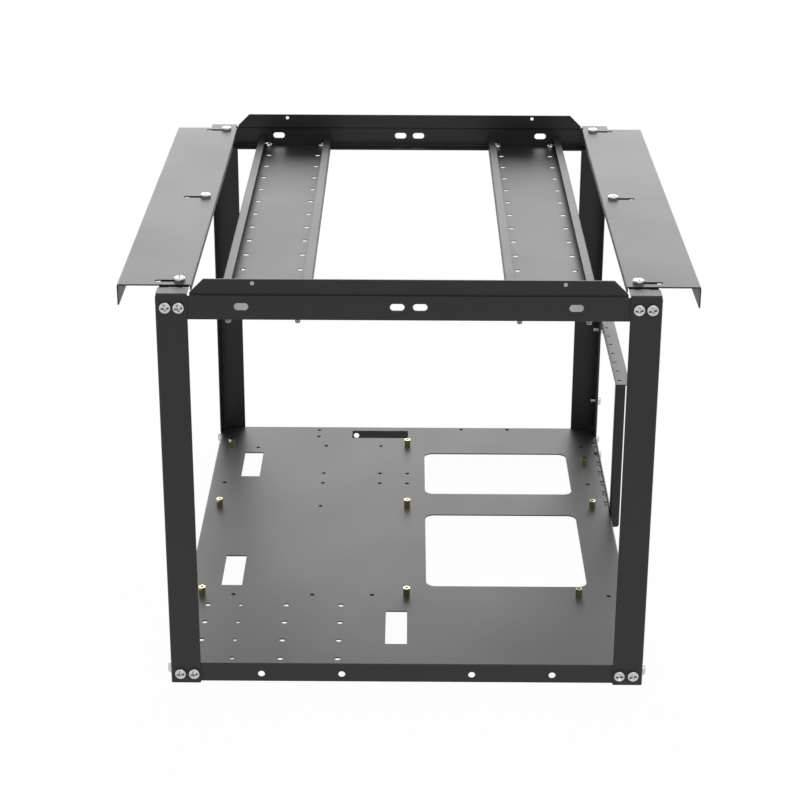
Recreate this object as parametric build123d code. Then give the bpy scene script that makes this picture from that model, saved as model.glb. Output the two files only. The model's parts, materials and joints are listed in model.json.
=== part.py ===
from build123d import *
import os

# Open air test bench: a bolted frame of folded steel sheet for a computer board and its cards.
# Millimetres. X to the right, Y to the back, Z up; the origin is on the floor at the middle of the frame.

# Sheet
SHEET = 1.0                 # thickness of every folded piece but the trays
BEND = 0.4                  # inside radius of a fold
SET_BEND = 0.05             # inside radius where a sheet is set over by a small step

# Board mounting pattern
COLUMN_LEFT = 156.85        # left column of standoffs to the middle column
COLUMN_RIGHT = 154.94       # middle column to the right column, beside the board's ports
ROW_MIDDLE = 157.48         # front row to the middle row
ROW_REAR = 124.46           # middle row to the rear row
PORT_SHIFT = 22.86          # front right standoff, set in from the right column
CORNER_ROW = 87.63          # rear right standoff, behind the middle row
STANDOFF_H = 6.5
STANDOFF_FLATS = 5.0        # across the flats of its hexagon
STANDOFF_BORE_R = 1.25
STANDOFF_BORE_DEPTH = 5.0
STANDOFF_STUD_R = 1.5
STANDOFF_STUD_H = 4.0

# Base plate
BASE_TOP = 15.2             # top face above the floor
BASE_FLANGE = 14.1          # depth of the down-turned flanges
MARGIN_LEFT = 11.7          # base edge to the left column
MARGIN_RIGHT = 14.41        # right column to the base edge
MARGIN_FRONT = 106.2        # base edge to the front row, over the power supply
MARGIN_REAR = 42.9          # rear row to the base edge
CORNER_RELIEF = 3.6         # square cut where two flanges meet
CUT_MARGIN = 15.1           # board cut-outs, from the standoff lines beside them
CUT_BRIDGE = 25.2           # upper cut-out, from the middle row
CUT_CORNER_R = 7.5
PORT_L = 50.6               # small cable ports
PORT_W = 16.0
PORT_IN = 13.3              # left cable ports, from the left column
PORT_EDGE = 30.3            # front cable port, from the base's front edge
REAR_PORT_L = 50.2
REAR_PORT_W = 16.4
REAR_PORT_EDGE = 8.8        # rear cable port, from the base's rear edge
SPARE_R = 1.75              # spare standoff holes for smaller boards
TAP_WALL = 0.7              # drawn collar round a tapped hole
TAP_DEPTH = 1.5             # collar, below the sheet
GRID_R = 2.2                # power supply slots of holes, front left
GRID_SMALL_R = 1.7
GRID_PITCH = 27.05
GRID_ROWS = 4
GRID_EDGE = 8.3             # first row of the grid, from the base's front edge
FLANGE_HOLE_R = 2.5
FLANGE_HOLE_INNER = 46.9    # front and rear flange holes, from the middle of the frame
FLANGE_HOLE_OUTER = 104.9
FLANGE_HOLE_DROP = 8.3      # below the base's top face

# Expansion cards
CARD_PITCH = 20.32
CARD_COUNT = 7
CARD_ROW = 224.6            # middle card, behind the front row of standoffs
CARD_SCREW_SHIFT = -3.6     # bracket screw, behind the middle of the bracket's tail
TAIL_L = 11.2               # pocket for a bracket's tail
TAIL_W = 2.6
TAIL_EDGE = 1.0             # pocket, from the base's right edge
TONGUE_DIP = 11.0           # degrees that the tongue in a pocket is pressed down
TONGUE_GAP = 0.6            # tongue, clear of the pocket's sides

# Posts
POST_H = 298.1
POST_FACE = 21.55           # width of the front or rear face
POST_SIDE = 14.0            # depth of the side flange
POST_FOOT_R = 1.2           # rounded inner corner at the foot
TAB_DEPTH = 12.9            # tab folded inward at the top
TAB_INSET = 0.6             # tab's outer edge, from the side of the post
SIDE_TOP_GAP = 2.6          # side flange ends this far below the top

# Front and rear top rails
RAIL_FACE = 18.9            # rail's bottom, below the top of the posts
RAIL_UPPER = 9.6            # upper flange, above the top of the posts
RAIL_SET_GAP = 1.0          # upper flange, set inward by the sheet and this much
RAIL_LEDGE = 1.4            # ledge at the set, below the top of the posts
RAIL_FLANGE = 11.8          # bottom flange
RAIL_NOTCH = 1.4            # upper flange ends this far from the posts
RAIL_END_GAP = 0.8          # rail's end, below the post's tab and clear of its side
SLOT_L = 9.8
SLOT_W = 4.9
SLOT_INNER = 7.7
SLOT_OUTER = 112.4
SLOT_DROP = 9.2             # slot line below the top of the posts
UPPER_HOLE_R = 1.4
UPPER_HOLE_X = 104.8
UPPER_HOLE_RISE = 6.7       # hole line above the top of the posts

# Side rails
SIDE_RAIL_LIFT = 1.0        # clear of the top rail's bottom flange

# Trays
TRAY_SHEET = 0.6            # thinner sheet than the frame's
TRAY_W = 62.1
TRAY_H = 8.2
TRAY_LIP = 6.0
TRAY_INSET = 40.5           # tray's outer wall, from the side of the frame
TRAY_GAP = 0.6              # tray's end, from the rail's face
TRAY_HOLE_R = 2.3
TRAY_HOLE_PITCH = 32.9
TRAY_HOLE_COUNT = 12
TRAY_HOLE_ROW = 20.6        # hole rows either side of the tray's middle
TRAY_SCREW_ROW = 23.5
TRAY_SCREW_BACK = 6.9       # tray screws, from the rail's face

# Wings
WING_W = 50.5
WING_INNER_LIP = 4.0        # inner down flange, full height
WING_OUTER_LIP = 14.9
WING_END = 16.0             # wing's ends, from the post's face
WING_GAP = 0.2              # inner fold, clear of the side rail's edge
WING_TRAVEL = 14.5          # inward slide from the outer stop
WING_SCREW_IN = 14.45       # screw line, from the side of the frame
WING_SLOT_END = 7.5         # end slots, from the wing's ends
WING_SLOT_PLAY = 0.3        # slot, clear of the screw all round
WING_HOLE_R = 1.75
WING_HOLE_END = 22.0        # hole in the outer flange, from the wing's ends
WING_HOLE_DROP = 8.0

# Card holder
STRIP_Z = 129.0             # top of the bracket strip
STRIP_W = 11.7
STRIP_EDGE = 0.4            # wall left between the strip's fold and the window
STRIP_HOLE_R = 1.5
STRIP_HOLE_OUT = 3.55       # bracket screws, from the holder's inner face
HOLDER_LEG = 5.9            # front leg's width along the side
HOLDER_REAR_EDGE = 2.0      # wall left between the window and the set over the rear post
HOLDER_SET_GAP = 0.8        # set, clear of the rear post's side flange
HOLDER_FRONT_W = 8.0        # front leg's outward flange
HOLDER_FRONT_EDGE = 8.8     # front leg, before the last bracket screw
HOLDER_BAND_RISE = 0.3      # lower band, above the base's top face
HOLDER_FOOT = 0.2           # clear of the floor
HOLDER_FOOT_R = 2.5
HOLDER_SCREW_LOW = 45.6     # screws into the rear post, above the floor
HOLDER_SCREW_HIGH = 114.1
BAND_SCREW_REAR = 43.5      # lower band's screws, from the rear face of the posts and from the front leg
BAND_SCREW_FRONT = 15.0

# Screws
SCREW_R = 2.0
SCREW_L = 6.0
SCREW_CLEAR = 0.2           # hole radius over screw radius
HEAD_R = 4.0
HEAD_H = 2.8
HEAD_BEVEL = 0.9            # sloped edge of the head
TOP_SCREW_DROP = 9.6        # screws at a post's top, below the top
TOP_SCREW_PITCH = 9.0
TOP_SCREW_IN = 11.25        # middle of the top pair, from the side of the frame
FOOT_SCREW_Z = 8.0
FOOT_SCREW_PITCH = 9.8
FOOT_SCREW_IN = 11.85       # middle of the foot pair, from the side of the frame
SIDE_SCREW_BACK = 8.6       # foot screw in the side flange, from the post's face

# Places that follow from the sizes above
BASE_X = (MARGIN_LEFT + COLUMN_LEFT + COLUMN_RIGHT + MARGIN_RIGHT) / 2
BASE_Y = (MARGIN_FRONT + ROW_MIDDLE + ROW_REAR + MARGIN_REAR) / 2
SIDE_X = BASE_X + SHEET
FACE_Y = BASE_Y + SHEET
MIDDLE_X = MARGIN_LEFT + COLUMN_LEFT - BASE_X
LEFT_X = MIDDLE_X - COLUMN_LEFT
RIGHT_X = MIDDLE_X + COLUMN_RIGHT
FRONT_ROW = MARGIN_FRONT - BASE_Y
MIDDLE_ROW = FRONT_ROW + ROW_MIDDLE
REAR_ROW = MIDDLE_ROW + ROW_REAR
OUTER_BEND = BEND + SHEET
POST_IN_X = SIDE_X - POST_FACE
RAIL_Z = POST_H - RAIL_FACE
RAIL_SET = SHEET + RAIL_SET_GAP
RAIL_IN_Y = BASE_Y - SHEET
RAIL_END_TOP = POST_H - SHEET - RAIL_END_GAP
TRAY_Z = RAIL_Z + SHEET
TRAY_X = SIDE_X - TRAY_INSET - TRAY_W / 2
SIDE_RAIL_Z = TRAY_Z + SIDE_RAIL_LIFT
WING_Y = FACE_Y - WING_END
WING_IN_X = POST_IN_X - WING_GAP - OUTER_BEND
WING_OUT_X = WING_IN_X + WING_W
WING_TOP = POST_H + SHEET
WING_SCREW_X = SIDE_X - WING_SCREW_IN
WING_SCREW_YS = [-(WING_Y - WING_SLOT_END), 0, WING_Y - WING_SLOT_END]
CARD_YS = [FRONT_ROW + CARD_ROW + CARD_PITCH * (i - (CARD_COUNT - 1) / 2) for i in range(CARD_COUNT)]
HOLDER_X = SIDE_X + SHEET
HOLDER_FRONT = CARD_YS[0] + CARD_SCREW_SHIFT - HOLDER_FRONT_EDGE
HOLDER_LEG_IN = FACE_Y - POST_SIDE
SCREW_HOLE_R = SCREW_R + SCREW_CLEAR
STANDOFFS = {
    "standoff_front_left": (LEFT_X, FRONT_ROW),
    "standoff_front_middle": (MIDDLE_X, FRONT_ROW),
    "standoff_front_right": (RIGHT_X - PORT_SHIFT, FRONT_ROW),
    "standoff_centre_left": (LEFT_X, MIDDLE_ROW),
    "standoff_centre_middle": (MIDDLE_X, MIDDLE_ROW),
    "standoff_centre_right": (RIGHT_X, MIDDLE_ROW),
    "standoff_rear_left": (LEFT_X, REAR_ROW),
    "standoff_rear_middle": (MIDDLE_X, REAR_ROW),
    "standoff_rear_right": (RIGHT_X, MIDDLE_ROW + CORNER_ROW),
}
# Spare standoff holes: from the middle column and the front row
SPARES = [(-132.9, 0), (-72.4, 0), (-26.5, 0), (COLUMN_RIGHT, 0),
          (-72.4, ROW_MIDDLE),
          (-COLUMN_LEFT, 203.2), (-72.4, 203.2), (-23.6, 203.2), (0, 203.2), (COLUMN_RIGHT, 203.2),
          (-72.4, 223.4), (-23.6, 223.4), (0, 223.4),
          (-132.9, 277.6), (-72.4, 281.9), (-23.6, 281.9), (COLUMN_RIGHT, 281.9),
          (-80.0, 302.6), (-80.0, 317.1), (48.9, 319.7), (90.5, 319.7)]
# Power supply grid: columns from the base's left edge, and their hole radii
GRID_COLUMNS = [(17.65, GRID_R), (42.45, GRID_SMALL_R), (77.25, GRID_R), (118.75, GRID_R)]


def fold(plane, points, radii, half_length, sheet=SHEET):
    """Sheet folded along a mid-sheet outline, run the same length both ways along the plane's normal."""
    section = trace(FilletPolyline(*points, radius=radii), sheet)
    return extrude(plane * section, half_length, both=True)


def fold_up(points, radii, bottom, top):
    """Sheet folded along a mid-sheet outline in plan, from one height to another."""
    section = trace(FilletPolyline(*points, radius=radii), SHEET)
    return Pos(0, 0, bottom) * extrude(section, top - bottom)


def slab(x0, x1, y0, y1, z0, z1):
    """Flat piece of sheet, or a cut, between two corners."""
    return Pos((x0 + x1) / 2, (y0 + y1) / 2, (z0 + z1) / 2) * Box(x1 - x0, y1 - y0, z1 - z0)


def pins(axis, radius, places, reach):
    """Round cutters along an axis, centred on each place and reaching both ways."""
    turn = {"X": Rot(0, 90, 0), "Y": Rot(90, 0, 0), "Z": Rot(0, 0, 0)}[axis]
    return [Pos(*place) * turn * Cylinder(radius, 2 * reach) for place in places]


def mid(value, sheet=SHEET):
    """Fold corner radius at the middle of the sheet."""
    return value + sheet / 2


def screw():
    """Pan-head screw: seat at the origin, head up, shank down."""
    outline = Polyline((0, HEAD_H), (HEAD_R - HEAD_BEVEL, HEAD_H), (HEAD_R, HEAD_H - HEAD_BEVEL),
                       (HEAD_R, 0), (SCREW_R, 0), (SCREW_R, -SCREW_L), (0, -SCREW_L), close=True)
    return revolve(Plane.XZ * make_face(outline), Axis.Z)


def screws(places, turn):
    """Group of equal screws, all turned the same way."""
    one = turn * screw()
    return Compound(children=[Pos(*place) * one for place in places])


def standoff():
    """Brass standoff: hexagon with a corner to the front, tapped from the top, stud through the base."""
    body = extrude(RegularPolygon(STANDOFF_FLATS / 2, 6, major_radius=False, rotation=30), STANDOFF_H)
    stud = Cylinder(STANDOFF_STUD_R, STANDOFF_STUD_H, align=(Align.CENTER, Align.CENTER, Align.MAX))
    bore = Cylinder(STANDOFF_BORE_R, STANDOFF_BORE_DEPTH, align=(Align.CENTER, Align.CENTER, Align.MAX))
    return body + stud - Pos(0, 0, STANDOFF_H) * bore


def screw_pair(pitch, inset, z):
    """The two screws through a post's face, right front."""
    x = SIDE_X - inset
    return [(x - pitch / 2, -FACE_Y, z), (x + pitch / 2, -FACE_Y, z)]


TOP_PAIR = screw_pair(TOP_SCREW_PITCH, TOP_SCREW_IN, POST_H - TOP_SCREW_DROP)
FOOT_PAIR = screw_pair(FOOT_SCREW_PITCH, FOOT_SCREW_IN, FOOT_SCREW_Z)
SIDE_FOOT = (SIDE_X, -FACE_Y + SIDE_SCREW_BACK, FOOT_SCREW_Z)
HOLDER_POST = [(HOLDER_X, FACE_Y - SIDE_SCREW_BACK, z) for z in (HOLDER_SCREW_LOW, HOLDER_SCREW_HIGH)]
HOLDER_BAND = [(SIDE_X, FACE_Y - BAND_SCREW_REAR, FOOT_SCREW_Z),
               (SIDE_X, HOLDER_FRONT + BAND_SCREW_FRONT, FOOT_SCREW_Z)]


def mirrored(places):
    """The same places on all four posts."""
    return [(sx * x, sy * y, z) for x, y, z in places for sx in (1, -1) for sy in (1, -1)]


def base_plate():
    """Folded tray for the board, open at the corners, with its cut-outs and hole patterns."""
    drop = Align.CENTER, Align.CENTER, Align.MAX
    outer = Box(2 * BASE_X, 2 * BASE_Y, BASE_FLANGE, align=drop)
    outer = fillet(outer.edges().group_by(Axis.Z)[-1], OUTER_BEND)
    inner = Box(2 * (BASE_X - SHEET), 2 * (BASE_Y - SHEET), BASE_FLANGE - SHEET, align=drop)
    inner = fillet(inner.edges().group_by(Axis.Z)[-1], BEND)
    plate = Pos(0, 0, BASE_TOP) * (outer - Pos(0, 0, -SHEET) * inner)
    low, high = BASE_TOP - 2 * SHEET, BASE_TOP + SHEET
    corner_x, corner_y = BASE_X - CORNER_RELIEF, BASE_Y - CORNER_RELIEF
    corner = slab(corner_x, BASE_X + SHEET, corner_y, BASE_Y + SHEET, 0, high)
    plate -= [corner, mirror(corner, Plane.YZ), mirror(corner, Plane.XZ), Rot(0, 0, 180) * corner]
    # Board cut-outs with rounded corners, between the middle and right columns
    for y0, y1 in ((FRONT_ROW + CUT_MARGIN, MIDDLE_ROW - CUT_MARGIN),
                   (MIDDLE_ROW + CUT_BRIDGE, REAR_ROW - CUT_MARGIN)):
        window = slab(MIDDLE_X + CUT_MARGIN, RIGHT_X - CUT_MARGIN, y0, y1, low, high)
        plate -= fillet(window.edges().filter_by(Axis.Z), CUT_CORNER_R)
    # Cable ports
    port_x = LEFT_X + PORT_IN
    plate -= slab(port_x, port_x + PORT_W, FRONT_ROW + CUT_MARGIN, FRONT_ROW + CUT_MARGIN + PORT_L, low, high)
    plate -= slab(port_x, port_x + PORT_W, REAR_ROW - CUT_MARGIN - PORT_L, REAR_ROW - CUT_MARGIN, low, high)
    plate -= slab(-PORT_W, 0, PORT_EDGE - BASE_Y, PORT_EDGE + PORT_L - BASE_Y, low, high)
    rear = BASE_Y - REAR_PORT_EDGE
    plate -= slab(-REAR_PORT_L, 0, rear - REAR_PORT_W, rear, low, high)
    # Standoff holes and spare holes, tapped through drawn collars
    tapped = [(x, y, STANDOFF_STUD_R + SCREW_CLEAR) for x, y in STANDOFFS.values()]
    tapped += [(MIDDLE_X + x, FRONT_ROW + y, SPARE_R) for x, y in SPARES]
    collar_h = SHEET + TAP_DEPTH
    plate += [Pos(x, y, BASE_TOP) * Cylinder(r + TAP_WALL, collar_h, align=drop) for x, y, r in tapped]
    plate -= [Pos(x, y, BASE_TOP) * Cylinder(r, 2 * collar_h) for x, y, r in tapped]
    # Power supply grid
    rows = [GRID_EDGE - BASE_Y + GRID_PITCH * i for i in range(GRID_ROWS)]
    for x, radius in GRID_COLUMNS:
        plate -= pins("Z", radius, [(x - BASE_X, y, BASE_TOP) for y in rows], 2 * SHEET)
    # Pockets for the tails of the card brackets, each with a tongue pressed down from its front end
    pocket_x = BASE_X - TAIL_EDGE - TAIL_W
    tongue = Rot(-TONGUE_DIP, 0, 0) * Box(TAIL_W - 2 * TONGUE_GAP, TAIL_L - TONGUE_GAP, SHEET,
                                          align=(Align.CENTER, Align.MIN, Align.MAX))
    for y in CARD_YS:
        start = y - TAIL_L / 2
        plate -= slab(pocket_x, pocket_x + TAIL_W, start, start + TAIL_L, low, high)
        plate += Pos(pocket_x + TAIL_W / 2, start - TONGUE_GAP, BASE_TOP) * tongue
    # Flange holes and screw holes
    hole_z = BASE_TOP - FLANGE_HOLE_DROP
    flange_x = [s * x for x in (FLANGE_HOLE_INNER, FLANGE_HOLE_OUTER) for s in (1, -1)]
    plate -= pins("Y", FLANGE_HOLE_R, [(x, s * BASE_Y, hole_z) for x in flange_x for s in (1, -1)], 3)
    plate -= pins("Y", SCREW_HOLE_R, mirrored(FOOT_PAIR), 4)
    plate -= pins("X", SCREW_HOLE_R, mirrored([SIDE_FOOT]) + HOLDER_BAND, 5)
    return plate


def front_right_post():
    """Angle post: face to the front, flange to the side, tab folded in at the top."""
    mid_x, mid_y = SIDE_X - SHEET / 2, -FACE_Y + SHEET / 2
    flat_top = POST_H - SIDE_TOP_GAP
    post = fold_up([(POST_IN_X, mid_y), (mid_x, mid_y), (mid_x, POST_SIDE - FACE_Y)], mid(BEND), 0, flat_top)
    foot = post.edges().filter_by(Axis.Y).group_by(Axis.Z)[0].sort_by(Axis.X)[0]
    post = fillet(foot, POST_FOOT_R)
    tab_z = POST_H - SHEET / 2
    tab_half = (POST_FACE - TAB_INSET) / 2
    tab = fold(Plane.YZ, [(mid_y, flat_top), (mid_y, tab_z), (TAB_DEPTH - FACE_Y, tab_z)], mid(BEND),
               tab_half)
    post += Pos(POST_IN_X + tab_half, 0, 0) * tab
    post -= pins("Y", SCREW_HOLE_R, TOP_PAIR + FOOT_PAIR, 2 * SHEET)
    return post - pins("X", SCREW_HOLE_R, [SIDE_FOOT], 2 * SHEET)


def rear_right_post():
    """The front post turned about, with the card holder's screw holes."""
    return mirror(front_right_post(), Plane.XZ) - pins("X", SCREW_HOLE_R, HOLDER_POST, 3 * SHEET)


def front_top_rail():
    """Rail behind the post faces: bottom flange, face, set and upper flange with cut-off ends."""
    mid_y, upper_y = -BASE_Y + SHEET / 2, -BASE_Y + SHEET / 2 + RAIL_SET
    floor_z, set_z, top_z = RAIL_Z + SHEET / 2, POST_H - RAIL_LEDGE - SHEET / 2, POST_H + RAIL_UPPER
    flange_y = RAIL_FLANGE - BASE_Y
    upper_x = POST_IN_X - RAIL_NOTCH
    rail = fold(Plane.YZ, [(flange_y, floor_z), (mid_y, floor_z), (mid_y, RAIL_END_TOP)], mid(BEND),
                BASE_X - RAIL_END_GAP)
    rail += fold(Plane.YZ, [(flange_y, floor_z), (mid_y, floor_z), (mid_y, set_z), (upper_y, set_z),
                            (upper_y, top_z)], [mid(BEND), mid(SET_BEND), mid(SET_BEND)], upper_x)
    cut_off = Polyline((upper_x - RAIL_UPPER, top_z), (upper_x, top_z), (upper_x, POST_H), close=True)
    corner = extrude(Plane.XZ.offset(BASE_Y - RAIL_SET) * make_face(cut_off), 2 * SHEET, both=True)
    rail -= [corner, mirror(corner, Plane.YZ)]
    slot = extrude(Plane.XZ.offset(BASE_Y) * SlotOverall(SLOT_L, SLOT_W), 2 * SHEET, both=True)
    rail -= [Pos(x, 0, POST_H - SLOT_DROP) * slot for x in (-SLOT_OUTER, -SLOT_INNER, SLOT_INNER, SLOT_OUTER)]
    hole_z = POST_H + UPPER_HOLE_RISE
    rail -= pins("Y", UPPER_HOLE_R, [(x, -BASE_Y, hole_z) for x in (-UPPER_HOLE_X, UPPER_HOLE_X)], 4 * SHEET)
    rail -= pins("Y", SCREW_HOLE_R, TOP_PAIR + [(-x, y, z) for x, y, z in TOP_PAIR], 4 * SHEET)
    return rail - pins("Z", SCREW_HOLE_R, TRAY_SCREWS + [(-x, y, z) for x, y, z in TRAY_SCREWS], 4 * SHEET)


def right_side_rail():
    """Angle rail under the wing, with end tabs that share the screws at the post tops."""
    mid_x, mid_z = BASE_X - SHEET / 2, POST_H - SHEET / 2
    tab_y = RAIL_IN_Y - SHEET / 2
    rail = fold(Plane.XZ, [(POST_IN_X, mid_z), (mid_x, mid_z), (mid_x, SIDE_RAIL_Z)], mid(BEND), WING_Y)
    end = fold_up([(mid_x, 0), (mid_x, tab_y), (POST_IN_X, tab_y)], mid(BEND), SIDE_RAIL_Z, RAIL_END_TOP)
    rail += [end, mirror(end, Plane.XZ)]
    rail -= pins("Z", SCREW_HOLE_R, [(WING_SCREW_X, y, POST_H) for y in WING_SCREW_YS], 2 * SHEET)
    pair = TOP_PAIR + [(x, -y, z) for x, y, z in TOP_PAIR]
    return rail - pins("Y", SCREW_HOLE_R, pair, 5 * SHEET)


def right_tray():
    """Lipped channel from rail to rail, on their bottom flanges."""
    half = TRAY_W / 2
    wall, floor_z, lip_z = half - TRAY_SHEET / 2, TRAY_Z + TRAY_SHEET / 2, TRAY_Z + TRAY_H - TRAY_SHEET / 2
    outline = [(TRAY_LIP - half, lip_z), (-wall, lip_z), (-wall, floor_z),
               (wall, floor_z), (wall, lip_z), (half - TRAY_LIP, lip_z)]
    tray = fold(Plane.XZ, outline, mid(BEND, TRAY_SHEET), RAIL_IN_Y - TRAY_GAP, TRAY_SHEET)
    rows = [TRAY_HOLE_PITCH * (i - (TRAY_HOLE_COUNT - 1) / 2) for i in range(TRAY_HOLE_COUNT)]
    holes = [(s * TRAY_HOLE_ROW, y, TRAY_Z) for s in (1, -1) for y in rows]
    tray = Pos(TRAY_X, 0, 0) * (tray - pins("Z", TRAY_HOLE_R, holes, 2 * SHEET))
    return tray - pins("Z", SCREW_HOLE_R, TRAY_SCREWS, 2 * SHEET)


def right_wing():
    """Slotted side plate with a short inner and a deep outer down flange."""
    in_x, out_x, mid_z = WING_IN_X + SHEET / 2, WING_OUT_X - SHEET / 2, WING_TOP - SHEET / 2
    wing = fold(Plane.XZ, [(in_x, WING_TOP - WING_INNER_LIP), (in_x, mid_z), (out_x, mid_z),
                           (out_x, WING_TOP - WING_OUTER_LIP)], mid(BEND), WING_Y)
    width = 2 * (SCREW_R + WING_SLOT_PLAY)
    slot = extrude(SlotOverall(WING_TRAVEL + width, width), 2 * SHEET, both=True)
    slot_x = WING_SCREW_X + WING_TRAVEL / 2
    wing -= [Pos(slot_x, y, WING_TOP) * slot for y in WING_SCREW_YS]
    hole_y = WING_Y - WING_HOLE_END
    holes = [(WING_OUT_X, y, WING_TOP - WING_HOLE_DROP) for y in (-hole_y, hole_y)]
    return wing - pins("X", WING_HOLE_R, holes, 2 * SHEET)


def card_holder():
    """Window frame on the right: wall set out over the rear post, front leg and bracket strip folded out."""
    mid_x, front_y, rear = BASE_X + SHEET / 2, HOLDER_FRONT + SHEET / 2, FACE_Y - SHEET
    set_y = HOLDER_LEG_IN - HOLDER_SET_GAP
    fold_z, strip_z = STRIP_Z - OUTER_BEND, STRIP_Z - SHEET / 2
    wall = fold_up([(BASE_X + HOLDER_FRONT_W, front_y), (mid_x, front_y), (mid_x, set_y - SHEET),
                    (mid_x + SHEET, set_y), (mid_x + SHEET, rear)],
                   [mid(BEND), mid(SET_BEND), mid(SET_BEND)], HOLDER_FOOT, fold_z)
    foot = wall.edges().filter_by(Axis.Y).group_by(Axis.Z)[0].sort_by(Axis.X)[-1]
    wall = fillet(foot, HOLDER_FOOT_R)
    window = slab(BASE_X - SHEET, HOLDER_X + SHEET, HOLDER_FRONT + HOLDER_LEG,
                  set_y - SHEET - HOLDER_REAR_EDGE, BASE_TOP + HOLDER_BAND_RISE, fold_z)
    holder = wall - window
    holder += slab(BASE_X + OUTER_BEND, BASE_X + HOLDER_FRONT_W, HOLDER_FRONT, HOLDER_FRONT + SHEET,
                   fold_z, STRIP_Z - SHEET)
    # The strip's fold follows the wall: one run in front of the set, one behind it
    for x, y0, y1 in ((mid_x, HOLDER_FRONT, set_y), (mid_x + SHEET, set_y - SHEET, rear)):
        outline = [(x, fold_z - STRIP_EDGE), (x, strip_z), (BASE_X + STRIP_W, strip_z)]
        run = fold(Plane.XZ, outline, mid(BEND), (y1 - y0) / 2)
        holder += Pos(0, (y0 + y1) / 2, 0) * run
    bracket_screws = [(BASE_X + STRIP_HOLE_OUT, y + CARD_SCREW_SHIFT, STRIP_Z) for y in CARD_YS]
    holder -= pins("Z", STRIP_HOLE_R, bracket_screws, 2 * SHEET)
    foot_screw = (HOLDER_X, FACE_Y - SIDE_SCREW_BACK, FOOT_SCREW_Z)
    return holder - pins("X", SCREW_HOLE_R, HOLDER_POST + HOLDER_BAND + [foot_screw], 4 * SHEET)


TRAY_SCREWS = [(TRAY_X + sx * TRAY_SCREW_ROW, sy * (RAIL_IN_Y - TRAY_SCREW_BACK), TRAY_Z + TRAY_SHEET)
               for sx in (1, -1) for sy in (1, -1)]
OUT_FRONT, OUT_REAR = Rot(90, 0, 0), Rot(-90, 0, 0)
OUT_RIGHT, OUT_LEFT = Rot(0, 90, 0), Rot(0, -90, 0)
UPRIGHT = Rot(0, 0, 0)


def build():
    """Every node of the bench, by name."""
    nodes = {"base_plate": base_plate(), "card_holder": card_holder(),
             "front_right_post": front_right_post(), "rear_right_post": rear_right_post(),
             "front_top_rail": front_top_rail(), "right_side_rail": right_side_rail(),
             "right_tray": right_tray(), "right_wing": right_wing()}
    nodes["front_left_post"] = mirror(nodes["front_right_post"], Plane.YZ)
    nodes["rear_left_post"] = mirror(nodes["front_left_post"], Plane.XZ)
    nodes["rear_top_rail"] = mirror(nodes["front_top_rail"], Plane.XZ)
    for name in ("side_rail", "tray", "wing"):
        nodes["left_" + name] = mirror(nodes["right_" + name], Plane.YZ)
    for name, (x, y) in STANDOFFS.items():
        nodes[name] = Pos(x, y, BASE_TOP) * standoff()
    for end, sy, turn in (("front", 1, OUT_FRONT), ("rear", -1, OUT_REAR)):
        for side, sx in (("left", -1), ("right", 1)):
            corner = end + "_" + side
            nodes[corner + "_top_screws"] = screws([(sx * x, sy * y, z) for x, y, z in TOP_PAIR], turn)
            nodes[corner + "_foot_screws"] = screws([(sx * x, sy * y, z) for x, y, z in FOOT_PAIR], turn)
    side_x, side_y, side_z = SIDE_FOOT
    nodes["left_side_foot_screws"] = screws([(-side_x, s * side_y, side_z) for s in (1, -1)], OUT_LEFT)
    nodes["right_side_foot_screws"] = screws([SIDE_FOOT, (HOLDER_X, -side_y, side_z)], OUT_RIGHT)
    for side, sx in (("left", -1), ("right", 1)):
        nodes[side + "_tray_screws"] = screws([(sx * x, y, z) for x, y, z in TRAY_SCREWS], UPRIGHT)
        wing_places = [(sx * WING_SCREW_X, y, WING_TOP) for y in WING_SCREW_YS]
        nodes[side + "_wing_screws"] = screws(wing_places, UPRIGHT)
    nodes["holder_post_screws"] = screws(HOLDER_POST, OUT_RIGHT)
    nodes["holder_band_screws"] = screws(HOLDER_BAND, OUT_RIGHT)
    return nodes


os.makedirs("parts", exist_ok=True)
for node, shape in build().items():
    export_step(shape, "parts/" + node + ".step")
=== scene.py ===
import json
import math

import bmesh
import bpy
from mathutils import Matrix, Vector

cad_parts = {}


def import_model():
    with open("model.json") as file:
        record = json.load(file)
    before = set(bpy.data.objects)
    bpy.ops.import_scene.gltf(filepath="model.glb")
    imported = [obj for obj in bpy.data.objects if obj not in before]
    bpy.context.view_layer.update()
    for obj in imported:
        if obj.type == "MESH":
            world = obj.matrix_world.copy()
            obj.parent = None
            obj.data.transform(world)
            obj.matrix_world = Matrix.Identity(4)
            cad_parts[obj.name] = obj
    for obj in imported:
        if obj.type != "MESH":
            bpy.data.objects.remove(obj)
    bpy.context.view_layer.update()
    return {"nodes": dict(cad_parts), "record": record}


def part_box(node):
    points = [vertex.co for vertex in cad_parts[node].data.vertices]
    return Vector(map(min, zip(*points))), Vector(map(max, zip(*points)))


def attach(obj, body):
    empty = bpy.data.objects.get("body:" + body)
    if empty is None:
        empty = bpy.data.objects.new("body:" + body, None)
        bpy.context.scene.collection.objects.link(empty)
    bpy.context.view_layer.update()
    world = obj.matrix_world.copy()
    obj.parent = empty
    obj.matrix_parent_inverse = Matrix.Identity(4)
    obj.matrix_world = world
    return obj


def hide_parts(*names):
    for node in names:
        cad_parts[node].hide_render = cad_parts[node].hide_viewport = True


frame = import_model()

# Screw, in metres: seat at the origin, head along +Z
HEAD_R = 0.0040
HEAD_H = 0.0028
HEAD_EDGE = 0.0013          # radius of the head's rounded edge
HEAD_SIDES = 48
EDGE_STEPS = 6
RECESS_ARM = 0.0028         # cross recess: reach and half width of its arms, and its depth
RECESS_HALF = 0.00075
RECESS_DEPTH = 0.0018
PUNCH_LIFT = 0.0002         # punch, above the head's top, where it is a little wider than the recess
PUNCH_TOP = 1.06
PUNCH_BOTTOM = 0.5
SHANK_R = 0.0020
SHANK_L = 0.0060
SHANK_TIP = 0.0006          # cone at the shank's end
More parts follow.
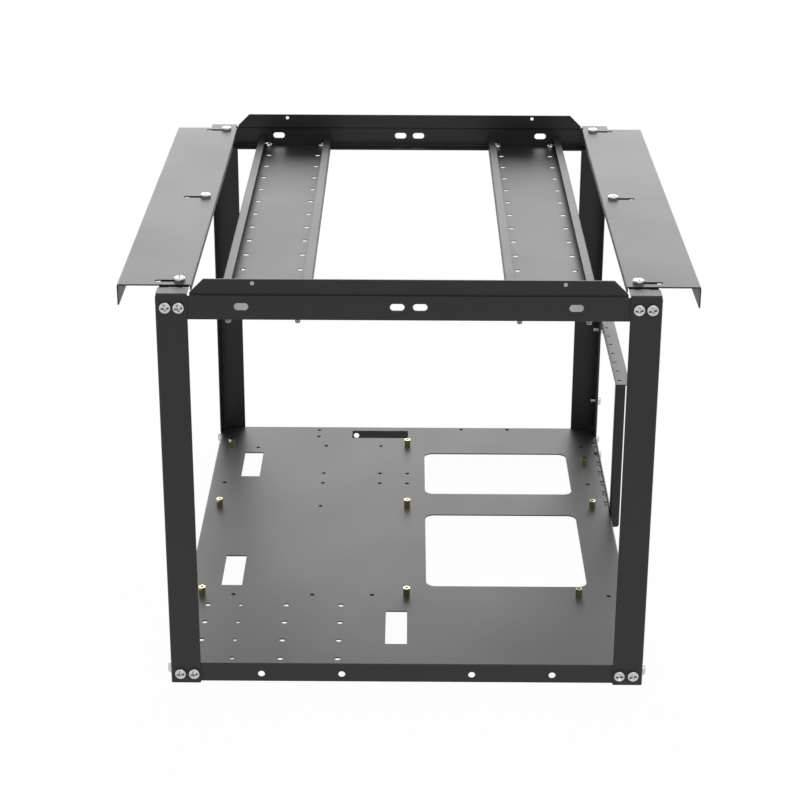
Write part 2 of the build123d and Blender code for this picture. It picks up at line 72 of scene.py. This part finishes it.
SHANK_SIDES = 24
PITCH = 0.0007
PITCH_ROWS = 6
THREAD_DEPTH = 0.0003
SHARP_ANGLE = math.radians(32)
FIRST_TURN = 0.1            # radians that the first screw of a group is turned, and each next one more
NEXT_TURN = 0.12

# Stage: half the floor's width in metres, its plain white share, and the surroundings' share as light
FLOOR_HALF = 12.0
FLOOR_WHITE = 0.975
AMBIENT = 0.55

# Camera, in metres and radians: level turn, tilt down and roll of the photograph
CAMERA_AT = (-0.00036, -1.52014, 0.76610)
CAMERA_LENS = 93.27
CAMERA_TILT = 0.395255
CAMERA_TURN = 0.0040265
CAMERA_ROLL = -0.0038998


def new_material(name, colour, roughness, metallic):
    """Principled material with its node tree, and the shader node."""
    material = bpy.data.materials.new(name)
    material.use_nodes = True
    shader = material.node_tree.nodes["Principled BSDF"]
    shader.inputs["Base Color"].default_value = (*colour, 1.0)
    shader.inputs["Roughness"].default_value = roughness
    shader.inputs["Metallic"].default_value = metallic
    return material, shader


def noise(tree, scale, detail=2.0):
    """Noise texture in the object's own coordinates."""
    coordinates = tree.nodes.new("ShaderNodeTexCoord")
    texture = tree.nodes.new("ShaderNodeTexNoise")
    texture.inputs["Scale"].default_value = scale
    texture.inputs["Detail"].default_value = detail
    tree.links.new(coordinates.outputs["Object"], texture.inputs["Vector"])
    return texture


def ramp(tree, factor, low, high):
    """Colour ramp between two colours over the middle of a texture's range."""
    node = tree.nodes.new("ShaderNodeValToRGB")
    node.color_ramp.elements[0].position = 0.3
    node.color_ramp.elements[1].position = 0.7
    node.color_ramp.elements[0].color = (*low, 1.0)
    node.color_ramp.elements[1].color = (*high, 1.0)
    tree.links.new(factor, node.inputs["Fac"])
    return node.outputs["Color"]


def spread(tree, factor, low, high):
    """Texture value mapped to a range."""
    node = tree.nodes.new("ShaderNodeMapRange")
    node.inputs["To Min"].default_value = low
    node.inputs["To Max"].default_value = high
    tree.links.new(factor, node.inputs["Value"])
    return node.outputs["Result"]


def bump(tree, shader, height, strength, distance):
    """Surface relief from a texture."""
    node = tree.nodes.new("ShaderNodeBump")
    node.inputs["Strength"].default_value = strength
    node.inputs["Distance"].default_value = distance
    tree.links.new(height, node.inputs["Height"])
    tree.links.new(node.outputs["Normal"], shader.inputs["Normal"])


def powder_coat():
    """Black powder coat: fine orange-peel relief, slightly uneven gloss and tone."""
    material, shader = new_material("black_powder_coat", (0.011, 0.011, 0.0113), 0.45, 0.0)
    shader.inputs["IOR"].default_value = 1.46
    tree = material.node_tree
    cloud = noise(tree, 14.0).outputs["Fac"]
    peel = noise(tree, 900.0, 1.0).outputs["Fac"]
    tone = ramp(tree, cloud, (0.010, 0.010, 0.0103), (0.012, 0.012, 0.0123))
    tree.links.new(tone, shader.inputs["Base Color"])
    tree.links.new(spread(tree, cloud, 0.41, 0.49), shader.inputs["Roughness"])
    bump(tree, shader, peel, 0.08, 0.0001)
    return material


def zinc():
    """Bright zinc plate: pale metal with a soft crystalline mottle."""
    material, shader = new_material("bright_zinc", (0.55, 0.54, 0.53), 0.14, 1.0)
    tree = material.node_tree
    mottle = noise(tree, 1500.0).outputs["Fac"]
    tone = ramp(tree, mottle, (0.47, 0.46, 0.45), (0.63, 0.62, 0.61))
    tree.links.new(tone, shader.inputs["Base Color"])
    tree.links.new(spread(tree, mottle, 0.09, 0.19), shader.inputs["Roughness"])
    return material


def brass():
    """Drawn brass: warm metal with a light mottle and fine drawing marks."""
    material, shader = new_material("drawn_brass", (0.58, 0.50, 0.27), 0.18, 1.0)
    tree = material.node_tree
    mottle = noise(tree, 700.0).outputs["Fac"]
    tone = ramp(tree, mottle, (0.52, 0.45, 0.23), (0.64, 0.56, 0.31))
    tree.links.new(tone, shader.inputs["Base Color"])
    tree.links.new(spread(tree, mottle, 0.14, 0.22), shader.inputs["Roughness"])
    bump(tree, shader, noise(tree, 2500.0, 1.0).outputs["Fac"], 0.05, 0.00005)
    return material


def head_mesh():
    """Pan head with a rounded edge, turned about Z, before its recess is cut."""
    mesh = bmesh.new()
    profile = [Vector((0.0, 0.0, 0.0)), Vector((HEAD_R, 0.0, 0.0))]
    for i in range(EDGE_STEPS + 1):
        angle = math.pi / 2 * i / EDGE_STEPS
        out, up = HEAD_EDGE * math.cos(angle), HEAD_EDGE * math.sin(angle)
        profile.append(Vector((HEAD_R - HEAD_EDGE + out, 0.0, HEAD_H - HEAD_EDGE + up)))
    profile.append(Vector((0.0, 0.0, HEAD_H)))
    points = [mesh.verts.new(p) for p in profile]
    lines = [mesh.edges.new(pair) for pair in zip(points, points[1:])]
    bmesh.ops.spin(mesh, geom=points + lines, axis=(0, 0, 1), cent=(0, 0, 0), angle=2 * math.pi,
                   steps=HEAD_SIDES)
    bmesh.ops.remove_doubles(mesh, verts=mesh.verts, dist=1e-7)
    bmesh.ops.recalc_face_normals(mesh, faces=mesh.faces)
    return mesh


def recess_mesh():
    """Cross-shaped punch, wide at the head's top and narrow at its bottom."""
    mesh = bmesh.new()
    arm, half = RECESS_ARM, RECESS_HALF
    outline = [(arm, half), (half, half), (half, arm), (-half, arm), (-half, half), (-arm, half),
               (-arm, -half), (-half, -half), (-half, -arm), (half, -arm), (half, -half), (arm, -half)]
    rings = []
    for z, size in ((HEAD_H + PUNCH_LIFT, PUNCH_TOP), (HEAD_H - RECESS_DEPTH, PUNCH_BOTTOM)):
        rings.append([mesh.verts.new((x * size, y * size, z)) for x, y in outline])
    for i in range(len(outline)):
        j = (i + 1) % len(outline)
        mesh.faces.new((rings[0][i], rings[0][j], rings[1][j], rings[1][i]))
    mesh.faces.new(rings[0])
    mesh.faces.new(rings[1])
    bmesh.ops.recalc_face_normals(mesh, faces=mesh.faces)
    return mesh


def shank_mesh():
    """Threaded shank below the head, closed at both ends."""
    mesh = bmesh.new()
    rows = round(SHANK_L / PITCH * PITCH_ROWS)
    rings = []
    for row in range(rows + 1):
        z = -SHANK_L * row / rows
        ring = []
        for i in range(SHANK_SIDES):
            phase = (z / PITCH + i / SHANK_SIDES) % 1.0
            radius = SHANK_R - THREAD_DEPTH * abs(2 * phase - 1)
            radius = min(radius, SHANK_R - max(0.0, SHANK_TIP - SHANK_L - z))
            angle = 2 * math.pi * i / SHANK_SIDES
            ring.append(mesh.verts.new((radius * math.cos(angle), radius * math.sin(angle), z)))
        rings.append(ring)
    for upper, lower in zip(rings, rings[1:]):
        for i in range(SHANK_SIDES):
            j = (i + 1) % SHANK_SIDES
            mesh.faces.new((upper[i], lower[i], lower[j], upper[j]))
    mesh.faces.new(rings[0])
    mesh.faces.new(list(reversed(rings[-1])))
    bmesh.ops.recalc_face_normals(mesh, faces=mesh.faces)
    return mesh


def as_object(name, mesh):
    """Linked object from a bmesh."""
    data = bpy.data.meshes.new(name)
    mesh.to_mesh(data)
    mesh.free()
    piece = bpy.data.objects.new(name, data)
    bpy.context.scene.collection.objects.link(piece)
    return piece


def screw_template():
    """One finished screw as a mesh: recessed head and threaded shank."""
    head = as_object("screw_head", head_mesh())
    punch = as_object("screw_punch", recess_mesh())
    cut = head.modifiers.new("recess", "BOOLEAN")
    cut.operation = "DIFFERENCE"
    cut.solver = "EXACT"
    cut.object = punch
    bpy.context.view_layer.update()
    evaluated = head.evaluated_get(bpy.context.evaluated_depsgraph_get())
    whole = bmesh.new()
    whole.from_mesh(evaluated.to_mesh())
    shank = shank_mesh()
    data = bpy.data.meshes.new("screw_shank")
    shank.to_mesh(data)
    shank.free()
    whole.from_mesh(data)
    bpy.data.meshes.remove(data)
    for piece in (head, punch):
        bpy.data.objects.remove(piece)
    template = bpy.data.meshes.new("screw")
    whole.to_mesh(template)
    whole.free()
    return template


# Each group of screws: the way its heads point, and where its screws stand in the group's box
X_PAIR = [(0, 0, 0), (1, 0, 0)]
Y_PAIR = [(0, 0, 0), (0, 1, 0)]
SCREW_GROUPS = {
    "left_side_foot_screws": ("-X", Y_PAIR),
    "right_side_foot_screws": ("+X", [(0, 0, 0), (1, 1, 0)]),
    "holder_post_screws": ("+X", [(0, 0, 0), (0, 0, 1)]),
    "holder_band_screws": ("+X", Y_PAIR),
    "left_tray_screws": ("+Z", X_PAIR + [(0, 1, 0), (1, 1, 0)]),
    "right_tray_screws": ("+Z", X_PAIR + [(0, 1, 0), (1, 1, 0)]),
    "left_wing_screws": ("+Z", Y_PAIR + [(0, 0.5, 0)]),
    "right_wing_screws": ("+Z", Y_PAIR + [(0, 0.5, 0)]),
}
for corner_side in ("left", "right"):
    for place in ("top", "foot"):
        SCREW_GROUPS["front_" + corner_side + "_" + place + "_screws"] = ("-Y", X_PAIR)
        SCREW_GROUPS["rear_" + corner_side + "_" + place + "_screws"] = ("+Y", X_PAIR)


def screw_places(node, way, spots):
    """Matrix of each screw in a group, seated where the group's solids are."""
    low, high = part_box(node)
    axis = "XYZ".index(way[1])
    sign = 1.0 if way[0] == "+" else -1.0
    direction = Vector([sign if i == axis else 0.0 for i in range(3)])
    turn = Vector((0, 0, 1)).rotation_difference(direction).to_matrix().to_4x4()
    places = []
    for number, spot in enumerate(spots):
        seat = Vector()
        for i in range(3):
            first, last = low[i] + HEAD_R, high[i] - HEAD_R
            if i == axis:
                if sign > 0:
                    first, last = low[i] + SHANK_L, high[i] - HEAD_H
                else:
                    first, last = high[i] - SHANK_L, low[i] + HEAD_H
            seat[i] = first + (last - first) * spot[i]
        spin = Matrix.Rotation(FIRST_TURN + NEXT_TURN * number, 4, "Z")
        places.append(Matrix.Translation(seat) @ turn @ spin)
    return places


def screw_group(node, template, material):
    """The detailed screws that stand for one group of solids."""
    way, spots = SCREW_GROUPS[node]
    mesh = bmesh.new()
    for place in screw_places(node, way, spots):
        one = bmesh.new()
        one.from_mesh(template)
        one.transform(place)
        data = bpy.data.meshes.new("screw_copy")
        one.to_mesh(data)
        one.free()
        mesh.from_mesh(data)
        bpy.data.meshes.remove(data)
    piece = as_object(node + "_detail", mesh)
    piece.data.materials.append(material)
    piece.data.shade_smooth()
    piece.data.set_sharp_from_angle(angle=SHARP_ANGLE)
    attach(piece, "frame")
    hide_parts(node)


def dress():
    """Materials on the sheet and the standoffs, and the detailed screws."""
    finishes = {"black_coat": powder_coat(), "brass": brass(), "zinc": zinc()}
    for part in frame["record"]["subparts"]:
        piece = frame["nodes"][part["node"]]
        piece.data.materials.clear()
        piece.data.materials.append(finishes[part["material_slot"]])
    template = screw_template()
    for node in sorted(SCREW_GROUPS):
        screw_group(node, template, finishes["zinc"])
    bpy.data.meshes.remove(template)


def seen_directly(tree):
    """One where a ray comes from the camera or from a mirror-like or clear surface, else zero."""
    path = tree.nodes.new("ShaderNodeLightPath")
    result = path.outputs["Is Camera Ray"]
    for name in ("Is Glossy Ray", "Is Transmission Ray"):
        widest = tree.nodes.new("ShaderNodeMath")
        widest.operation = "MAXIMUM"
        tree.links.new(result, widest.inputs[0])
        tree.links.new(path.outputs[name], widest.inputs[1])
        result = widest.outputs[0]
    return result


def floor():
    """Plain white floor that keeps a faint shadow."""
    mesh = bmesh.new()
    bmesh.ops.create_grid(mesh, x_segments=2, y_segments=2, size=FLOOR_HALF)
    piece = as_object("floor", mesh)
    material = bpy.data.materials.new("white_floor")
    material.use_nodes = True
    tree = material.node_tree
    shader = tree.nodes["Principled BSDF"]
    shader.inputs["Base Color"].default_value = (0.86, 0.86, 0.86, 1.0)
    shader.inputs["Roughness"].default_value = 0.9
    glow = tree.nodes.new("ShaderNodeEmission")
    mix = tree.nodes.new("ShaderNodeMixShader")
    share = tree.nodes.new("ShaderNodeMath")
    share.operation = "MULTIPLY"
    share.inputs[1].default_value = FLOOR_WHITE
    tree.links.new(seen_directly(tree), share.inputs[0])
    tree.links.new(share.outputs[0], mix.inputs["Fac"])
    tree.links.new(shader.outputs["BSDF"], mix.inputs[1])
    tree.links.new(glow.outputs["Emission"], mix.inputs[2])
    tree.links.new(mix.outputs["Shader"], tree.nodes["Material Output"].inputs["Surface"])
    piece.data.materials.append(material)


def world():
    """White surroundings, with a softer share of them as light."""
    surroundings = bpy.data.worlds.new("studio")
    bpy.context.scene.world = surroundings
    surroundings.use_nodes = True
    tree = surroundings.node_tree
    background = tree.nodes["Background"]
    background.inputs["Color"].default_value = (1.0, 1.0, 1.0, 1.0)
    tree.links.new(spread(tree, seen_directly(tree), AMBIENT, 1.0), background.inputs["Strength"])


def softbox(name, at, towards, width, height, radiance):
    """Rectangular lamp of a given brightness, facing a point."""
    lamp = bpy.data.lights.new(name, "AREA")
    lamp.shape = "RECTANGLE"
    lamp.size = width
    lamp.size_y = height
    lamp.energy = radiance * width * height * math.pi
    piece = bpy.data.objects.new(name, lamp)
    bpy.context.scene.collection.objects.link(piece)
    piece.location = at
    piece.rotation_euler = (Vector(towards) - Vector(at)).to_track_quat("-Z", "Y").to_euler()
    piece.visible_camera = False


def camera():
    """The photograph's view."""
    data = bpy.data.cameras.new("camera")
    data.lens = CAMERA_LENS
    data.sensor_width = 36.0
    data.clip_start = 0.05
    data.clip_end = 60.0
    piece = bpy.data.objects.new("camera", data)
    bpy.context.scene.collection.objects.link(piece)
    turn = Matrix.Rotation(CAMERA_TURN, 4, "Z")
    tilt = Matrix.Rotation(math.pi / 2 - CAMERA_TILT, 4, "X")
    roll = Matrix.Rotation(-CAMERA_ROLL, 4, "Z")
    piece.matrix_world = Matrix.Translation(CAMERA_AT) @ turn @ tilt @ roll
    bpy.context.scene.camera = piece


dress()
floor()
world()
softbox("rear_softbox", at=(0.0, 2.6, 1.25), towards=(0.0, 0.0, 0.2), width=4.4, height=1.9, radiance=3.0)
softbox("top_softbox", at=(0.7, -0.9, 2.4), towards=(0.0, 0.0, 0.1), width=1.6, height=1.6, radiance=1.0)
camera()
bpy.context.scene.view_settings.view_transform = "Standard"
